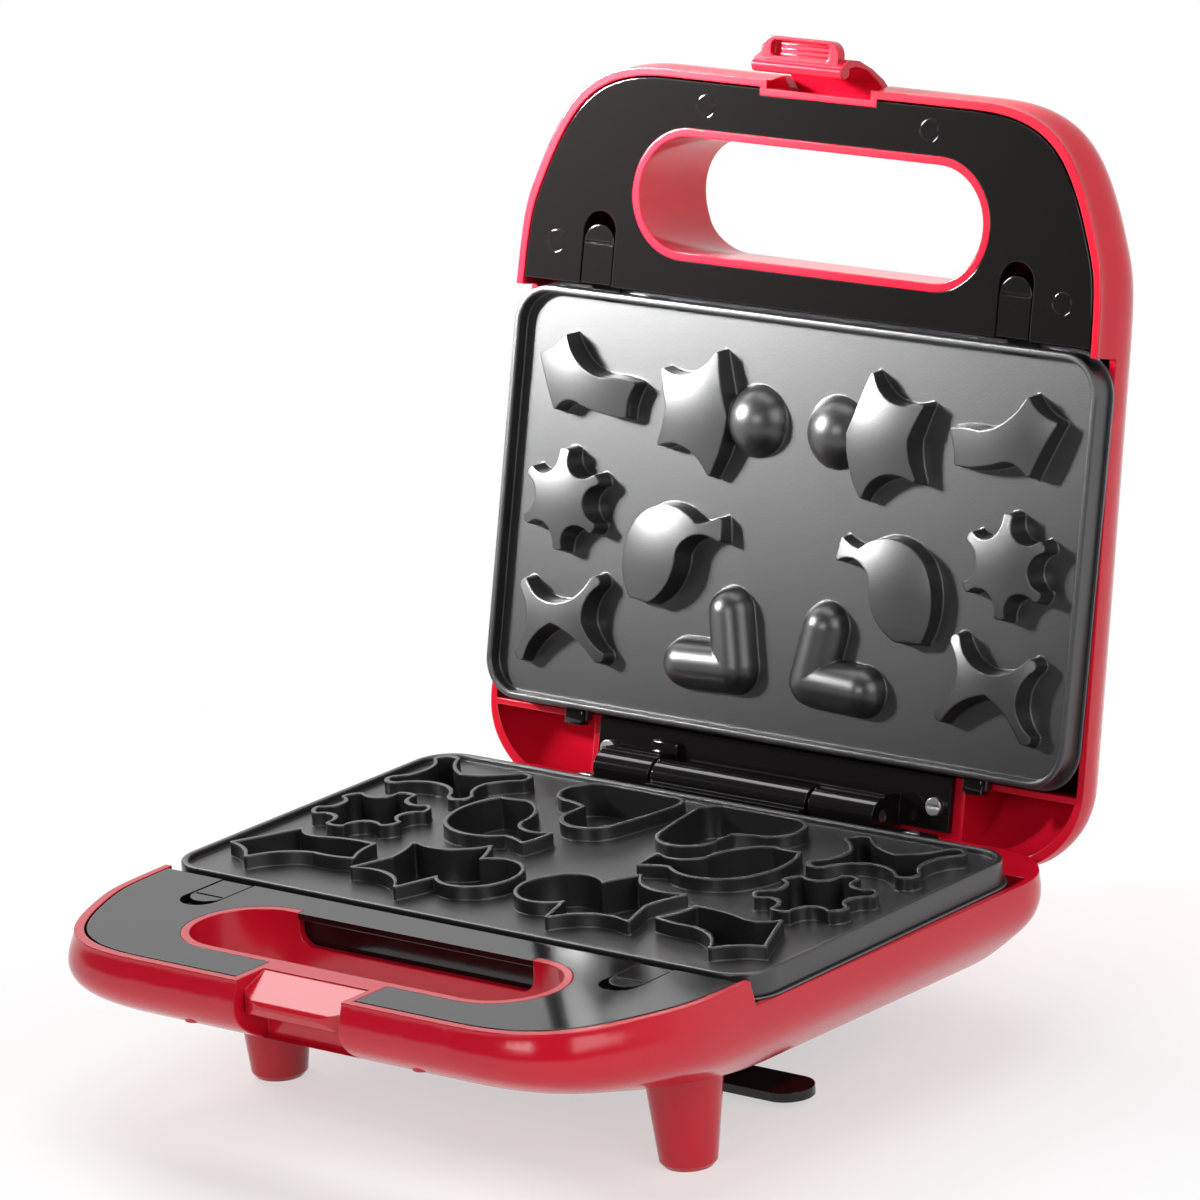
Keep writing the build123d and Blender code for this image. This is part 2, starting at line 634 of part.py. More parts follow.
# Base housing: red tub with the handle opening, latch seat, catch bar and front feet
with BuildPart() as base_housing:
    shell(BASE, BASE_LEVELS, base_form, [(SLOT_Y - 12, BASE_RIM, NOTCH_DEEP + 2.4)], 120)
    slab(BASE, (-NOTCH_HALF, NOTCH_HALF), (-95, NOTCH_BACK), (-1, NOTCH_DEEP), Mode.SUBTRACT)
    add(catch_bar())
    add(window(), mode=Mode.SUBTRACT)
    for side in (-1, 1):
        with BuildSketch(BASE.offset(35)) as foot_top:
            with Locations((side * FOOT_X, FOOT_Y)):
                Circle(12.4)
        with BuildSketch(BASE.offset(FOOT_HEIGHT - 1.6)) as foot_low:
            with Locations((side * FOOT_X, FOOT_Y)):
                Circle(8.9)
        with BuildSketch(BASE.offset(FOOT_HEIGHT)) as foot_sole:
            with Locations((side * FOOT_X, FOOT_Y)):
                Circle(7.6)
        loft(sections=[foot_top.sketch, foot_low.sketch], ruled=True)
        loft(sections=[foot_low.sketch, foot_sole.sketch], ruled=True)
    rods(BASE, [(-44.5, -66.4), (44.5, -66.4)], 3.2, (13.0, 19.6))
    rods(BASE, WRAP_SCREWS, 1.45, (BASE_DEEP - 4, BASE_DEEP + 1), Mode.SUBTRACT)
    gland(GLAND_RADIUS + 0.05, (146, 166), Mode.SUBTRACT)
    rods(BASE, HINGE_SCREWS, 1.45, (DECK - 1, DECK + 4), Mode.SUBTRACT)
base_housing.part.label = "base_housing"
export_step(base_housing.part, "parts/base_housing.step")

# Base cover: dark plate with a hanging apron behind the handle opening's rear wall
with BuildPart() as base_cover:
    cover(BASE, BASE_LEVELS, FIT)
    seat = (-NOTCH_HALF - 2.4 - FIT, NOTCH_HALF + 2.4 + FIT)
    slab(BASE, seat, (-90, SLOT_Y - 12 + FIT), (0, 12), Mode.SUBTRACT)
    rim_under = BASE_RIM + COVER_THICK
    strip = (-APRON_HALF + FIT, APRON_HALF - FIT)
    slab(BASE, strip, (-16.1, -12), (BASE_RIM, rim_under))
    slab(BASE, (-APRON_HALF - 2, APRON_HALF + 2), (APRON_Y, APRON_Y + 1.5), (BASE_RIM, WINDOW_DEEP + 2))
base_cover.part.label = "base_cover"
export_step(base_cover.part, "parts/base_cover.step")

# Lid housing: red shell with the handle opening, two rear pockets and the latch seat
with BuildPart() as lid_housing:
    seats = [(SEAT_BACK, LID_RIM, 10), (RECESS_BACK + 2.4, 3.0, RECESS_DEEP + 2.4)]
    shell(LID, LID_LEVELS, lid_form, seats, RIB_X)
    half = NOTCH_HALF
    slab(LID, (-half, half), (-95, -70.4), (LID_RIM - 1, 16.6), Mode.SUBTRACT)
    slab(LID, (-half, half), (-95, RECESS_BACK), (8.5, RECESS_DEEP), Mode.SUBTRACT)
    spindle(LID_SIDE, (-half - 2.4, half + 2.4), PIVOT, LATCH_PIN + 0.02, Mode.SUBTRACT)
    rods(LID, LENS_SPOTS, LENS_RADIUS + 0.1, (30, 40), Mode.SUBTRACT)
    rods(LID, HINGE_SCREWS, 1.45, (DECK - 1, DECK + 4), Mode.SUBTRACT)
    add(bosses(LID, SCREW_SPOTS, 4.0, (LID_RIM + COVER_THICK + 0.1, 24), lid_form))
    rods(LID, SCREW_SPOTS, 1.35, (LID_RIM, 13), Mode.SUBTRACT)
lid_housing.part.label = "lid_housing"
export_step(lid_housing.part, "parts/lid_housing.step")

# Lid cover: dark plate with four counterbored screw seats
with BuildPart() as lid_cover:
    cover(LID, LID_LEVELS, FIT)
    seat = (-NOTCH_HALF - 2.4 - FIT, NOTCH_HALF + 2.4 + FIT)
    slab(LID, seat, (-90, SEAT_BACK + FIT), (-2, 12), Mode.SUBTRACT)
    rods(LID, SCREW_SPOTS, 1.5, (LID_RIM - 1, 2), Mode.SUBTRACT)
    rods(LID, SCREW_SPOTS, 3.6, (LID_RIM - 1, 0.8), Mode.SUBTRACT)
lid_cover.part.label = "lid_cover"
export_step(lid_cover.part, "parts/lid_cover.step")

# Screws and caps of the lid cover
with BuildPart() as lid_cover_screws:
    rods(LID, SCREW_SPOTS, 2.6, (0.2, 0.8))
    rods(LID, SCREW_SPOTS, 1.3, (0.8, 12.0))
lid_cover_screws.part.label = "lid_cover_screws"
export_step(lid_cover_screws.part, "parts/lid_cover_screws.step")

with BuildPart() as screw_caps:
    rods(LID, SCREW_SPOTS, 3.5, (LID_RIM - 0.1, 0.15))
screw_caps.part.label = "screw_caps"
export_step(screw_caps.part, "parts/screw_caps.step")

# Plate clips
with BuildPart() as lower_clip_left:
    clip(BASE, 1, BASE_RIM)
lower_clip_left.part.label = "lower_clip_left"
export_step(lower_clip_left.part, "parts/lower_clip_left.step")

with BuildPart() as lower_clip_right:
    clip(BASE, -1, BASE_RIM)
lower_clip_right.part.label = "lower_clip_right"
export_step(lower_clip_right.part, "parts/lower_clip_right.step")

with BuildPart() as upper_clip_left:
    clip(LID, -1, LID_RIM)
upper_clip_left.part.label = "upper_clip_left"
export_step(upper_clip_left.part, "parts/upper_clip_left.step")

with BuildPart() as upper_clip_right:
    clip(LID, 1, LID_RIM)
upper_clip_right.part.label = "upper_clip_right"
export_step(upper_clip_right.part, "parts/upper_clip_right.step")

# Heat shields
with BuildPart() as lower_heat_shield:
    heat_shield(BASE)
lower_heat_shield.part.label = "lower_heat_shield"
export_step(lower_heat_shield.part, "parts/lower_heat_shield.step")

with BuildPart() as upper_heat_shield:
    heat_shield(LID)
upper_heat_shield.part.label = "upper_heat_shield"
export_step(upper_heat_shield.part, "parts/upper_heat_shield.step")

# Heaters
with BuildPart() as lower_heater:
    heater(BASE)
lower_heater.part.label = "lower_heater"
export_step(lower_heater.part, "parts/lower_heater.step")

with BuildPart() as upper_heater:
    heater(LID)
upper_heater.part.label = "upper_heater"
export_step(upper_heater.part, "parts/upper_heater.step")

# Thermostats and the fuse
with BuildPart() as lower_thermostat:
    thermostat(BASE)
lower_thermostat.part.label = "lower_thermostat"
export_step(lower_thermostat.part, "parts/lower_thermostat.step")

with BuildPart() as upper_thermostat:
    thermostat(LID)
upper_thermostat.part.label = "upper_thermostat"
export_step(upper_thermostat.part, "parts/upper_thermostat.step")

with BuildPart() as thermal_fuse:
    spindle(BASE_SIDE, (22, 38), (96, -28.5), 2.2)
    spindle(BASE_SIDE, (14, 46), (96, -28.5), 0.6)
thermal_fuse.part.label = "thermal_fuse"
export_step(thermal_fuse.part, "parts/thermal_fuse.step")

# Terminal block on the tub's floor
with BuildPart() as terminal_block:
    slab(BASE, (-20, 20), (88, 102), (32.0, BASE_DEEP - WALL), radius=1.5)
    slab(BASE, (-20, 20), (93, 97), (30.5, 34))
    wells = [(-14.0, 91), (-4.7, 91), (4.7, 91), (14.0, 91)]
    rods(BASE, wells, 2.0, (31, 37), Mode.SUBTRACT)
    rods(BASE, [(x, 99) for x, y in wells], 2.0, (31, 37), Mode.SUBTRACT)
terminal_block.part.label = "terminal_block"
export_step(terminal_block.part, "parts/terminal_block.step")

# Strain relief in the rear wall
with BuildPart() as cord_gland:
    gland(GLAND_RADIUS, (146.6, 157.4))
    gland(GLAND_RADIUS + 1.4, (146.6, 149.6))
    gland(2.6, (140, 170), Mode.SUBTRACT)
cord_gland.part.label = "cord_gland"
export_step(cord_gland.part, "parts/cord_gland.step")

# Cord wrap under the base: a dark tub with two side tongues and two rear legs
with BuildPart() as cord_wrap:
    body = ((-WRAP_HALF, WRAP_HALF), (WRAP_FRONT, WRAP_BACK))
    hollow = tuple((a + WALL, b - WALL) for a, b in body)
    slab(BASE, *body, (BASE_DEEP, 63.0), radius=9.0)
    slab(BASE, *hollow, (BASE_DEEP + WALL, 70.0), Mode.SUBTRACT, 6.5)
    with BuildSketch(BASE.offset(61.0)) as tongues:
        with Locations((0, TONGUE_Y)):
            SlotOverall(2 * TONGUE_REACH, TONGUE_WIDTH)
    extrude(tongues.sketch, amount=3.0)
    rods(BASE, WRAP_FEET, 7.4, (BASE_DEEP, 63.5))
    rods(BASE, WRAP_SCREWS, 1.6, (BASE_DEEP - 1, BASE_DEEP + 5), Mode.SUBTRACT)
cord_wrap.part.label = "cord_wrap"
export_step(cord_wrap.part, "parts/cord_wrap.step")

with BuildPart() as wrap_screws:
    rods(BASE, WRAP_SCREWS, 2.9, (BASE_DEEP + WALL, BASE_DEEP + WALL + 1.9))
    rods(BASE, WRAP_SCREWS, 1.35, (BASE_DEEP - 6.0, BASE_DEEP + WALL))
wrap_screws.part.label = "wrap_screws"
export_step(wrap_screws.part, "parts/wrap_screws.step")

with BuildPart() as rear_feet:
    rods(BASE, WRAP_FEET, 6.6, (63.5, FOOT_HEIGHT))
rear_feet.part.label = "rear_feet"
export_step(rear_feet.part, "parts/rear_feet.step")

# Shield screws
with BuildPart() as lower_shield_screws:
    screws(BASE, SHIELD_SCREWS, SHIELD_FLOOR, 9.0)
lower_shield_screws.part.label = "lower_shield_screws"
export_step(lower_shield_screws.part, "parts/lower_shield_screws.step")

with BuildPart() as upper_shield_screws:
    screws(LID, SHIELD_SCREWS, SHIELD_FLOOR, 9.0)
upper_shield_screws.part.label = "upper_shield_screws"
export_step(upper_shield_screws.part, "parts/upper_shield_screws.step")

# Hinge: block with the middle barrel on the base, wide leaf with two barrels on the lid, one pin
AXIS_SPOT = (HINGE_Y, -HINGE_DEPTH)
with BuildPart() as hinge_block:
    slab(BASE, (-MIDDLE[1], -MIDDLE[0]), (142.0, LEAF_BACK), (HINGE_DEPTH, DECK))
    slab(BASE, (-RIB_X + 0.5, RIB_X - 0.5), (LEAF_FRONT, LEAF_BACK), (6.6, DECK))
    spindle(BASE_SIDE, MIDDLE, AXIS_SPOT, BARREL)
    for ends in (LEFT_BARREL, RIGHT_BARREL):
        room = (ends[0] - 0.6, ends[1] + 0.6)
        spindle(BASE_SIDE, room, AXIS_SPOT, BARREL + 0.5, Mode.SUBTRACT)
    spindle(BASE_SIDE, (-80, 80), AXIS_SPOT, HINGE_PIN + 0.02, Mode.SUBTRACT)
    rods(BASE, HINGE_SCREWS, 1.45, (0, 12), Mode.SUBTRACT)
hinge_block.part.label = "hinge_block"
export_step(hinge_block.part, "parts/hinge_block.step")

with BuildPart() as hinge_leaf:
    slab(LID, (-RIB_X + 0.5, RIB_X - 0.5), (LEAF_FRONT, LEAF_BACK), (6.2, DECK))
    for ends in (LEFT_BARREL, RIGHT_BARREL):
        slab(LID, ends, (144.0, LEAF_BACK), (-HINGE_DEPTH, DECK))
        spindle(LID_SIDE, ends, AXIS_SPOT, BARREL)
    spindle(LID_SIDE, (-80, 80), AXIS_SPOT, HINGE_PIN + 0.02, Mode.SUBTRACT)
    rods(LID, HINGE_SCREWS, 1.45, (0, 12), Mode.SUBTRACT)
hinge_leaf.part.label = "hinge_leaf"
export_step(hinge_leaf.part, "parts/hinge_leaf.step")

with BuildPart() as hinge_pin:
    spindle(BASE_SIDE, (LEFT_BARREL[0] + 0.5, RIGHT_BARREL[1] - 0.5), AXIS_SPOT, HINGE_PIN)
hinge_pin.part.label = "hinge_pin"
export_step(hinge_pin.part, "parts/hinge_pin.step")

with BuildPart() as hinge_block_screws:
    screws(BASE, HINGE_SCREWS, 6.6, 6.0)
hinge_block_screws.part.label = "hinge_block_screws"
export_step(hinge_block_screws.part, "parts/hinge_block_screws.step")

with BuildPart() as hinge_leaf_screws:
    screws(LID, HINGE_SCREWS, 6.2, 6.0)
hinge_leaf_screws.part.label = "hinge_leaf_screws"
export_step(hinge_leaf_screws.part, "parts/hinge_leaf_screws.step")

# Indicators in the lid's top
with BuildPart() as power_lens:
    lens(LENS_SPOTS[0])
power_lens.part.label = "power_lens"
export_step(power_lens.part, "parts/power_lens.step")

with BuildPart() as ready_lens:
    lens(LENS_SPOTS[1])
ready_lens.part.label = "ready_lens"
export_step(ready_lens.part, "parts/ready_lens.step")

with BuildPart() as indicator_lamps:
    rods(LID, LENS_SPOTS, 2.0, (26.5, 32.3))
indicator_lamps.part.label = "indicator_lamps"
export_step(indicator_lamps.part, "parts/indicator_lamps.step")

# Latch: a hook that swings over the catch bar, with a finger loop
with BuildPart() as latch:
    beam(LID_SIDE, (-LATCH_HALF, LATCH_HALF), LATCH_PROFILE)
    spindle(LID_SIDE, (-LATCH_HALF, LATCH_HALF), LATCH_LIP, LIP_RADIUS)
    spindle(LID_SIDE, (-LATCH_HALF, LATCH_HALF), PIVOT, PIVOT_RADIUS)
    spindle(LID_SIDE, (-20, 20), PIVOT, LATCH_PIN + 0.02, Mode.SUBTRACT)
    with BuildSketch(LID.offset(TAB_DEPTH[0])) as tab:
        with Locations((0, TAB_Y)):
            RectangleRounded(*TAB_SIZE, 4.5)
    extrude(tab.sketch, amount=TAB_DEPTH[1] - TAB_DEPTH[0])
    with BuildSketch(LID.offset(TAB_DEPTH[0] - 1)) as pocket:
        with Locations((0, POCKET_Y)):
            RectangleRounded(*POCKET_SIZE, 1.6)
    extrude(pocket.sketch, amount=3.4, mode=Mode.SUBTRACT)
latch.part.label = "latch"
export_step(latch.part, "parts/latch.step")

with BuildPart() as latch_pin:
    spindle(LID_SIDE, (-NOTCH_HALF - 2.0, NOTCH_HALF + 2.0), PIVOT, LATCH_PIN)
latch_pin.part.label = "latch_pin"
export_step(latch_pin.part, "parts/latch_pin.step")
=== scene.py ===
# %% [markdown]
# A snack maker with two hinged shells, red and glossy, with dark coated plates. The solid model gives
# every part and joint. Blender adds the finishes, the small rounded details, the lights and the camera.

# %% Load the frame
import json
from math import cos, pi, radians, sin

import bmesh
import bpy
from mathutils import Matrix, Vector


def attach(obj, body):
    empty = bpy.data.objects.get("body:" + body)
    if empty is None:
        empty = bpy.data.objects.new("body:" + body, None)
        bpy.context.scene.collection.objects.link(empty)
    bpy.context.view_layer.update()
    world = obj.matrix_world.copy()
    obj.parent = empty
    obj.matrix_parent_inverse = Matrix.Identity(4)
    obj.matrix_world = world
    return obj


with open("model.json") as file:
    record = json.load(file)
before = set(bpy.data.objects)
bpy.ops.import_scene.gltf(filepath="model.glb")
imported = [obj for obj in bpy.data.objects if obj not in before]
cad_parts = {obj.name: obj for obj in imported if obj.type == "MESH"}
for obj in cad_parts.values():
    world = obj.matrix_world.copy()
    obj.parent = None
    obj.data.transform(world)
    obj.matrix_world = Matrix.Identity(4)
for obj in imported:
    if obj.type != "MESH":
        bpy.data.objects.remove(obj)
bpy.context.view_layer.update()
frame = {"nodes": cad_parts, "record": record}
nodes = frame["nodes"]

# %% [markdown]
# Moulded plastic is never quite smooth, and no real edge is quite sharp. Under a lamp the gloss breaks up
# a little, the skin carries a very faint grain, and each edge catches a thin line of light. The grain
# could be modelled, but it is far too fine, so one node group makes it as a normal. The same group rounds
# the look of an edge with a Bevel node and drifts the roughness. It gives values and a normal, no colour.

# %% A node group for the skin of moulded and coated parts
SKIN_DEFAULTS = {"Roughness": 0.2, "Drift": 0.05, "Grain": 0.1, "Grain Scale": 900.0, "Edge": 0.0005}
DRIFT_SCALE, DRIFT_DETAIL = 14.0, 4.0
GRAIN_DETAIL, GRAIN_HEIGHT = 3.0, 0.0002
EDGE_SAMPLES = 6
TONE_SCALE = 9.0


def math_node(n, link, operation, *sources):
    """A Math node fed by sockets, and its result."""
    node = n.new("ShaderNodeMath")
    node.operation = operation
    for place, source in enumerate(sources):
        link(source, node.inputs[place])
    return node.outputs[0]


def skin_group():
    """Roughness that drifts slowly, and a fine grain over rounded edges as a normal."""
    group = bpy.data.node_groups.new("moulded_skin", "ShaderNodeTree")
    sockets = group.interface
    for name, value in SKIN_DEFAULTS.items():
        entry = sockets.new_socket(name=name, in_out="INPUT", socket_type="NodeSocketFloat")
        entry.default_value = value
    sockets.new_socket(name="Roughness", in_out="OUTPUT", socket_type="NodeSocketFloat")
    sockets.new_socket(name="Normal", in_out="OUTPUT", socket_type="NodeSocketVector")
    n, link = group.nodes, group.links.new
    into, out = n.new("NodeGroupInput"), n.new("NodeGroupOutput")
    place = n.new("ShaderNodeTexCoord")
    drift = n.new("ShaderNodeTexNoise")
    drift.inputs["Scale"].default_value = DRIFT_SCALE
    drift.inputs["Detail"].default_value = DRIFT_DETAIL
    link(place.outputs["Object"], drift.inputs["Vector"])
    spread = math_node(
        n, link, "MULTIPLY_ADD", drift.outputs["Fac"], into.outputs["Drift"], into.outputs["Roughness"]
    )
    link(spread, out.inputs["Roughness"])
    grain = n.new("ShaderNodeTexNoise")
    grain.inputs["Detail"].default_value = GRAIN_DETAIL
    link(place.outputs["Object"], grain.inputs["Vector"])
    link(into.outputs["Grain Scale"], grain.inputs["Scale"])
    bump = n.new("ShaderNodeBump")
    bump.inputs["Distance"].default_value = GRAIN_HEIGHT
    link(grain.outputs["Fac"], bump.inputs["Height"])
    link(into.outputs["Grain"], bump.inputs["Strength"])
    edge = n.new("ShaderNodeBevel")
    edge.samples = EDGE_SAMPLES
    link(into.outputs["Edge"], edge.inputs["Radius"])
    link(edge.outputs["Normal"], bump.inputs["Normal"])
    link(bump.outputs["Normal"], out.inputs["Normal"])
    return group


SKIN = skin_group()


def finish(name, colour, roughness, drift, grain, scale=900.0, vary=0.06, edge=0.0005, **sockets):
    """A material from the skin group, with a colour that varies a little over the surface."""
    material = bpy.data.materials.new(name)
    material.use_nodes = True
    n, link = material.node_tree.nodes, material.node_tree.links.new
    shader = n["Principled BSDF"]
    skin = n.new("ShaderNodeGroup")
    skin.node_tree = SKIN
    for socket, value in zip(SKIN_DEFAULTS, (roughness, drift, grain, scale, edge)):
        skin.inputs[socket].default_value = value
    link(skin.outputs["Roughness"], shader.inputs["Roughness"])
    link(skin.outputs["Normal"], shader.inputs["Normal"])
    place = n.new("ShaderNodeTexCoord")
    tone = n.new("ShaderNodeTexNoise")
    tone.inputs["Scale"].default_value = TONE_SCALE
    link(place.outputs["Object"], tone.inputs["Vector"])
    mix = n.new("ShaderNodeMix")
    mix.data_type = "RGBA"
    mix.inputs["A"].default_value = (*[c * (1 - vary) for c in colour], 1)
    mix.inputs["B"].default_value = (*[min(1, c * (1 + vary)) for c in colour], 1)
    link(tone.outputs["Fac"], mix.inputs["Factor"])
    link(mix.outputs["Result"], shader.inputs["Base Color"])
    for socket, value in sockets.items():
        shader.inputs[socket.replace("_", " ")].default_value = value
    return material


# %% [markdown]
# The finishes. The shells are a deep signal red with a hard gloss. The covers are black and nearly as
# smooth as glass, so they mirror the room. The plates carry a non-stick coating: nearly black, with a
# soft sheen and a fine pebbled grain. Bare metal shows at the heat shields' lips, the screws, the pins
# and the rings round the lenses.

# %% Finishes
RED = (0.56, 0.005, 0.022)
BLACK = (0.006, 0.005, 0.005)
COATING = (0.012, 0.012, 0.013)
RUBBER = (0.015, 0.015, 0.016)
LOOKS = {
    "red_gloss": finish("red_gloss", RED, 0.15, 0.05, 0.03, edge=0.0007),
    "black_plastic": finish("black_plastic", BLACK, 0.06, 0.03, 0.03),
    "rubber_black": finish("rubber_black", RUBBER, 0.62, 0.1, 0.4),
    "plate_coating": finish(
        "plate_coating", COATING, 0.32, 0.04, 0.16, 1400.0, edge=0.0009, Specular_IOR_Level=1.0
    ),
    "bare_sheet": finish("bare_sheet", (0.20, 0.20, 0.21), 0.36, 0.12, 0.15, Metallic=1.0),
    "heater_sheath": finish("heater_sheath", (0.22, 0.21, 0.20), 0.45, 0.1, 0.3, Metallic=1.0),
    "plated_steel": finish("plated_steel", (0.60, 0.60, 0.62), 0.25, 0.1, 0.1, Metallic=1.0),
    "ceramic": finish("ceramic", (0.80, 0.76, 0.68), 0.30, 0.08, 0.1),
    "red_lens": finish("red_lens", (0.55, 0.01, 0.01), 0.08, 0.02, 0.02, Transmission_Weight=0.4),
    "green_lens": finish("green_lens", (0.02, 0.35, 0.06), 0.08, 0.02, 0.02, Transmission_Weight=0.4),
    "lamp_glass": finish("lamp_glass", (0.85, 0.6, 0.4), 0.05, 0.02, 0.0, Transmission_Weight=0.6),
}
slot_of = {part["node"]: part["material_slot"] for part in frame["record"]["subparts"]}
for name, obj in nodes.items():
    obj.data.materials.clear()
    obj.data.materials.append(LOOKS[slot_of[name]])
print("finishes", len(LOOKS))

# %% [markdown]
# Small parts that the solid model leaves plain: dark caps over the plate hooks in the lid, the stop tab
# beside the hinge's left barrel, grip ribs in the latch's finger pocket, and a thin ring round each
# indicator lens. They could be cut into the solids, but they carry no load and only show, so bmesh makes
# them: boxes with bevelled edges, and rings spun about an axis. Each rides on the body that it sits on.
# Their sizes are in millimetres in the lid's own frame: x across, y from the latch to the hinge, and
# depth out of the plate's side towards the lid's top.

# %% Small parts
MM = 0.001
OPEN_ANGLE = radians(103.1)
LID_ORIGIN = Vector((0, 110.461, 210.237))
LID_Z = Vector((0, sin(OPEN_ANGLE), cos(OPEN_ANGLE)))
LID_Y = Vector((0, LID_Z.z, -LID_Z.y))
BEVEL_STEPS = 3
RING_SIDES, RING_STEPS = 12, 40


def on_lid(x, y, depth):
    """A point given in the lid's own frame in millimetres, in the frame's metres."""
    return (LID_ORIGIN + Vector((x, 0, 0)) + LID_Y * y + LID_Z * depth) * MM


def small_part(name, shape, body, look):
    """Turns a bmesh into a piece with smooth faces that rides on a body."""
    bmesh.ops.recalc_face_normals(shape, faces=shape.faces)
    mesh = bpy.data.meshes.new(name)
    shape.to_mesh(mesh)
    shape.free()
    for face in mesh.polygons:
        face.use_smooth = True
    obj = bpy.data.objects.new(name, mesh)
    bpy.context.scene.collection.objects.link(obj)
    mesh.materials.append(LOOKS[look])
    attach(obj, body)
    return obj


def lid_block(name, x, y, depth, round_by, body, look):
    """A box with rounded edges from its ranges in the lid's frame."""
    shape = bmesh.new()
    bmesh.ops.create_cube(shape, size=1.0)
    middle = [(a + b) / 2 for a, b in (x, y, depth)]
    size = [b - a for a, b in (x, y, depth)]
    bmesh.ops.scale(shape, vec=size, verts=shape.verts)
    bmesh.ops.bevel(
        shape,
        geom=list(shape.edges),
        offset=round_by,
        offset_type="OFFSET",
        segments=BEVEL_STEPS,
        profile=0.5,
        affect="EDGES",
        material=-1,
    )
    for vertex in shape.verts:
        local = [m + c for m, c in zip(middle, vertex.co)]
        vertex.co = on_lid(*local)
    return small_part(name, shape, body, look)


def lens_ring(name, x, y, depth, radius, wire, body, look):
    """A ring of round wire about a point of the lid's top, spun about the lid's depth."""
    shape = bmesh.new()
    bmesh.ops.create_circle(shape, segments=RING_SIDES, radius=wire)
    for vertex in shape.verts:
        vertex.co = Vector((radius + vertex.co.x, 0, vertex.co.y))
    bmesh.ops.spin(
        shape,
        geom=list(shape.verts) + list(shape.edges),
        cent=(0, 0, 0),
        axis=(0, 0, 1),
        angle=2 * pi,
        steps=RING_STEPS,
        use_merge=True,
    )
    for vertex in shape.verts:
        vertex.co = on_lid(x + vertex.co.x, y + vertex.co.y, depth + vertex.co.z)
    return small_part(name, shape, body, look)


CAP_X, CAP_Y, CAP_DEPTH, CAP_ROUND = (75.8, 83.2), (134.9, 140.2), (3.7, 7.7), 0.7
LENS_X, LENS_Y, LENS_DEPTH, LENS_RADIUS, LENS_WIRE = 9.0, 4.0, 37.0, 4.9, 0.5
TAB_X, TAB_Y, TAB_DEPTH, TAB_ROUND = (-47.0, -36.5), (140.4, 144.6), (3.8, 6.4), 0.6
RIB_X, RIB_DEPTH, RIB_ROUND = (-9.0, 9.0), (-10.1, -9.5), 0.15
RIB_COUNT, RIB_START, RIB_STEP, RIB_WIDTH = 3, -85.6, 1.6, 0.5
for side, word in ((-1, "left"), (1, "right")):
    across = sorted(side * edge for edge in CAP_X)
    lid_block(f"hook_cap_{word}", across, CAP_Y, CAP_DEPTH, CAP_ROUND, "lid", "black_plastic")
    place = (side * LENS_X, LENS_Y, LENS_DEPTH)
    lens_ring(f"lens_ring_{word}", *place, LENS_RADIUS, LENS_WIRE, "lid", "plated_steel")
lid_block("hinge_tab", TAB_X, TAB_Y, TAB_DEPTH, TAB_ROUND, "lid", "black_plastic")
for count in range(RIB_COUNT):
    ahead = RIB_START + RIB_STEP * count
    along = (ahead, ahead + RIB_WIDTH)
    lid_block(f"latch_rib_{count}", RIB_X, along, RIB_DEPTH, RIB_ROUND, "latch", "red_gloss")

# %% [markdown]
# The floor. The object stands on a plain pale floor in a white room. Light of its own would make the
# floor white but wash out the object, so the floor's white is seen only by the camera and by what
# mirrors or glass send on, and lights nothing else. Far off it is all white. Near the object a share of
# it is a plain pale surface, which takes the shadow.

# %% Floor
bpy.context.scene.view_settings.view_transform = "Standard"
FLOOR_HALF = 6.0
FLOOR_GREY, FLOOR_ROUGH = 0.93, 0.7
FADE_START, FADE_END = 0.22, 0.50
SHADOW_SHARE = 0.45


def seen_in_picture(n, link, where=None):
    """1 for rays from the camera, and for those that a mirror or glass sends on there."""
    path = n.new("ShaderNodeLightPath")
    glossy, through = path.outputs["Is Glossy Ray"], path.outputs["Is Transmission Ray"]
    sent_on = math_node(n, link, "MAXIMUM", glossy, through)
    if where:
        sent_on = math_node(n, link, "MULTIPLY", sent_on, where)
    return math_node(n, link, "MAXIMUM", path.outputs["Is Camera Ray"], sent_on)


def floor_material():
    """A pale surface, mixed with a white that only the picture and mirrors see."""
    material = bpy.data.materials.new("floor_pale")
    material.use_nodes = True
    n, link = material.node_tree.nodes, material.node_tree.links.new
    shader = n["Principled BSDF"]
    shader.inputs["Base Color"].default_value = (FLOOR_GREY, FLOOR_GREY, FLOOR_GREY, 1)
    shader.inputs["Roughness"].default_value = FLOOR_ROUGH
    place = n.new("ShaderNodeTexCoord")
    reach = n.new("ShaderNodeVectorMath")
    reach.operation = "LENGTH"
    link(place.outputs["Object"], reach.inputs[0])
    fade = n.new("ShaderNodeMapRange")
    fade.inputs["From Min"].default_value = FADE_START
    fade.inputs["From Max"].default_value = FADE_END
    fade.inputs["To Min"].default_value = 1 - SHADOW_SHARE
    link(reach.outputs["Value"], fade.inputs["Value"])
    share = math_node(n, link, "MULTIPLY", fade.outputs["Result"], seen_in_picture(n, link))
    white = n.new("ShaderNodeEmission")
    mix = n.new("ShaderNodeMixShader")
    link(share, mix.inputs["Fac"])
    link(shader.outputs["BSDF"], mix.inputs[1])
    link(white.outputs["Emission"], mix.inputs[2])
    link(mix.outputs["Shader"], n["Material Output"].inputs["Surface"])
    return material


def floor_piece():
    """A square sheet at the height that the object stands on."""
    mesh = bpy.data.meshes.new("floor")
    shape = bmesh.new()
    bmesh.ops.create_grid(shape, x_segments=1, y_segments=1, size=FLOOR_HALF)
    shape.to_mesh(mesh)
    shape.free()
    obj = bpy.data.objects.new("floor", mesh)
    bpy.context.scene.collection.objects.link(obj)
    mesh.materials.append(floor_material())
    return obj


floor_piece()

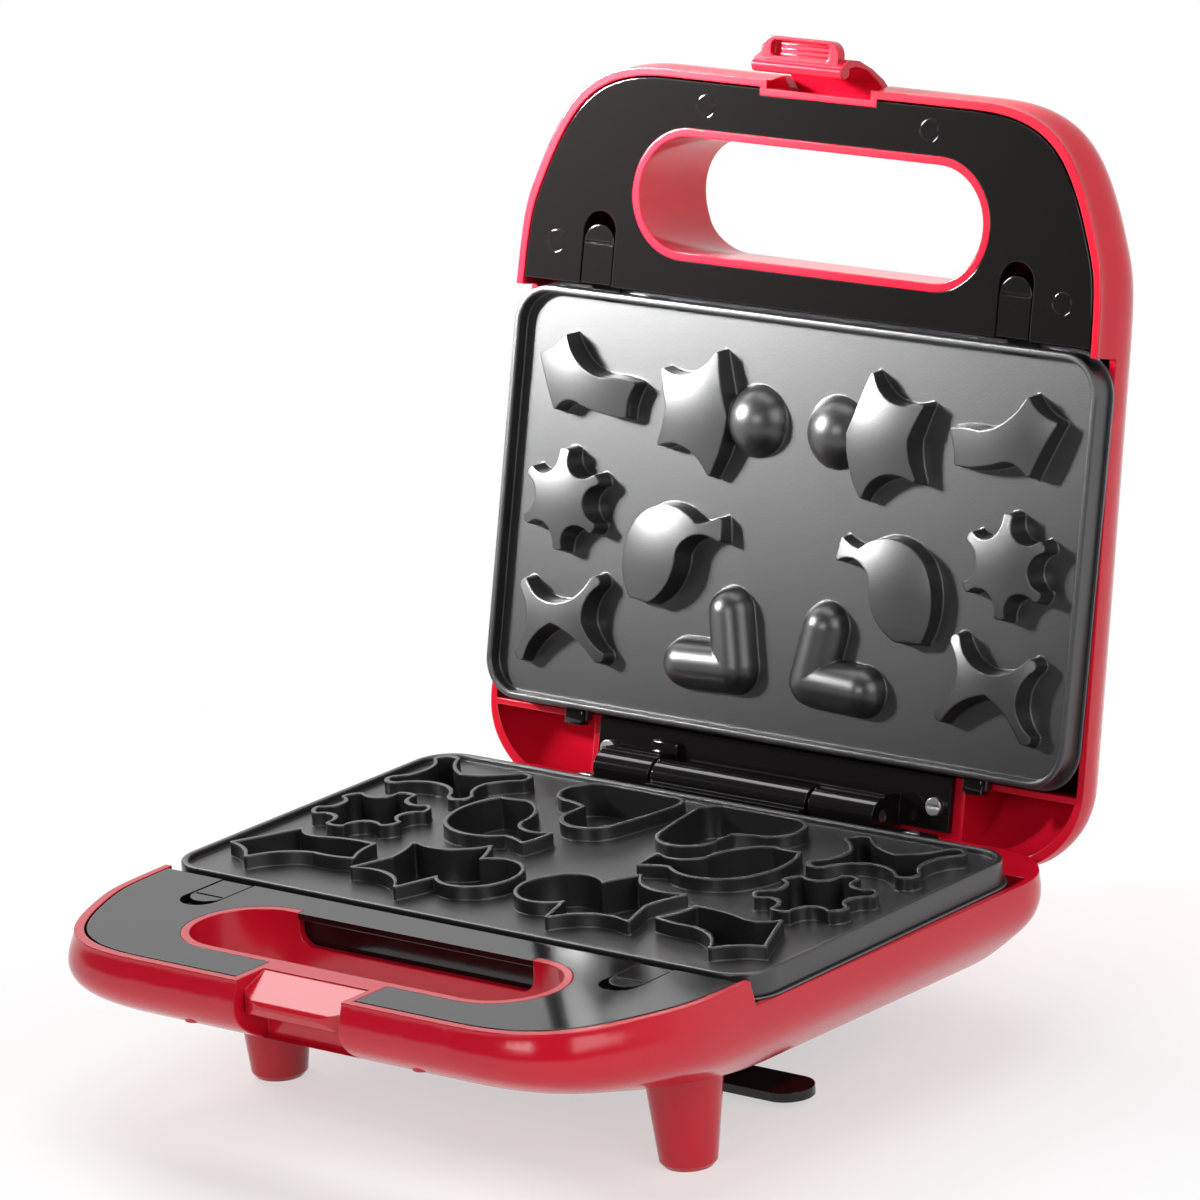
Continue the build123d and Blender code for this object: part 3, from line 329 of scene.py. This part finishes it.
# %% [markdown]
# The world is the white room. The camera sees it white all round. Mirrors see it white only behind the
# object. The light that it sends out is dim in front, where the photographer's side of a studio is dark,
# and stronger behind, so the covers that face the front stay deep black while those that lie flat carry
# a pale sheen.

# %% World
ROOM_FRONT, ROOM_BACK = 0.07, 0.40
ROOM_FADE = 0.5
MIRROR_FADE = 0.3
WHITE = (1, 1, 1, 1)


def studio_world():
    """A room that lights softly, with a white that only the picture and mirrors see."""
    world = bpy.data.worlds.new("studio")
    bpy.context.scene.world = world
    world.use_nodes = True
    n, link = world.node_tree.nodes, world.node_tree.links.new
    room = n["Background"]
    place = n.new("ShaderNodeTexCoord")
    axes = n.new("ShaderNodeSeparateXYZ")
    link(place.outputs["Generated"], axes.inputs[0])
    fade = n.new("ShaderNodeMapRange")
    fade.inputs["From Min"].default_value = -ROOM_FADE
    fade.inputs["From Max"].default_value = ROOM_FADE
    fade.inputs["To Min"].default_value = ROOM_FRONT
    fade.inputs["To Max"].default_value = ROOM_BACK
    link(axes.outputs["Y"], fade.inputs["Value"])
    link(fade.outputs["Result"], room.inputs["Strength"])
    white = n.new("ShaderNodeBackground")
    white.inputs["Strength"].default_value = 1.0
    behind = n.new("ShaderNodeMapRange")
    behind.inputs["From Max"].default_value = MIRROR_FADE
    link(axes.outputs["Y"], behind.inputs["Value"])
    mix = n.new("ShaderNodeMixShader")
    link(seen_in_picture(n, link, behind.outputs["Result"]), mix.inputs["Fac"])
    link(room.outputs["Background"], mix.inputs[1])
    link(white.outputs["Background"], mix.inputs[2])
    for shade in (room, white):
        shade.inputs["Color"].default_value = WHITE
    link(mix.outputs["Shader"], n["World Output"].inputs["Surface"])


studio_world()

# %% [markdown]
# Four soft panels shape the object. A fifth, small one with a grid stands low at the front left and
# points past the lid's upper corner: its edge grazes the upper plate, so the coating's sheen is brightest
# there and fades towards the lower right, while the rest of the object hardly sees it.

# %% Panels
MID_HEIGHT = (0, 0, 0.12)


def panel(name, place, aim, size, power, spread=180.0):
    """An area lamp that faces a point. Its power is in watts and its spread in degrees."""
    light = bpy.data.lights.new(name, "AREA")
    light.spread = radians(spread)
    light.shape = "RECTANGLE"
    light.size, light.size_y = size
    light.energy = power
    obj = bpy.data.objects.new(name, light)
    obj.location = place
    obj.rotation_euler = (Vector(aim) - Vector(place)).to_track_quat("-Z", "Y").to_euler()
    bpy.context.scene.collection.objects.link(obj)


panel("panel_left", (-1.25, 0.45, 1.35), MID_HEIGHT, (1.0, 1.0), 15)
panel("panel_right", (1.5, -0.5, 1.0), MID_HEIGHT, (0.9, 1.2), 12)
panel("panel_top", (0.0, 0.2, 1.8), (0, 0, 0.1), (1.4, 1.0), 12)
panel("panel_front", (0.2, -1.9, 0.9), (0, -0.1, 0.05), (0.8, 0.5), 10)
panel("box_low", (-0.80, -0.42, 0.60), (-0.26, 0.115, 0.36), (0.22, 0.22), 5.0, 31)

# %% [markdown]
# The camera stands where the photograph was taken from: to the front right, a little above the object,
# far away behind a long lens, and rolled by a few degrees.

# %% Camera
AZIMUTH, ELEVATION, ROLL = radians(39.678), radians(15.796), radians(-3.448)
DISTANCE, LENS = 2.379049, 226.374
SENSOR_WIDTH, CLIP_END = 36.0, 20.0
AIM = Vector((-0.042658, 0.055538, 0.1265))
back = Vector((sin(AZIMUTH) * cos(ELEVATION), -cos(AZIMUTH) * cos(ELEVATION), sin(ELEVATION)))
right = Vector((cos(AZIMUTH), sin(AZIMUTH), 0))
up = back.cross(right)
turned_right = right * cos(ROLL) + up * sin(ROLL)
turned_up = up * cos(ROLL) - right * sin(ROLL)
camera = bpy.data.objects.new("camera", bpy.data.cameras.new("camera"))
camera.data.lens, camera.data.sensor_width = LENS, SENSOR_WIDTH
camera.data.clip_end = CLIP_END
turn = Matrix((turned_right, turned_up, back)).transposed()
camera.matrix_world = Matrix.Translation(AIM + back * DISTANCE) @ turn.to_4x4()
bpy.context.scene.collection.objects.link(camera)
bpy.context.scene.camera = camera
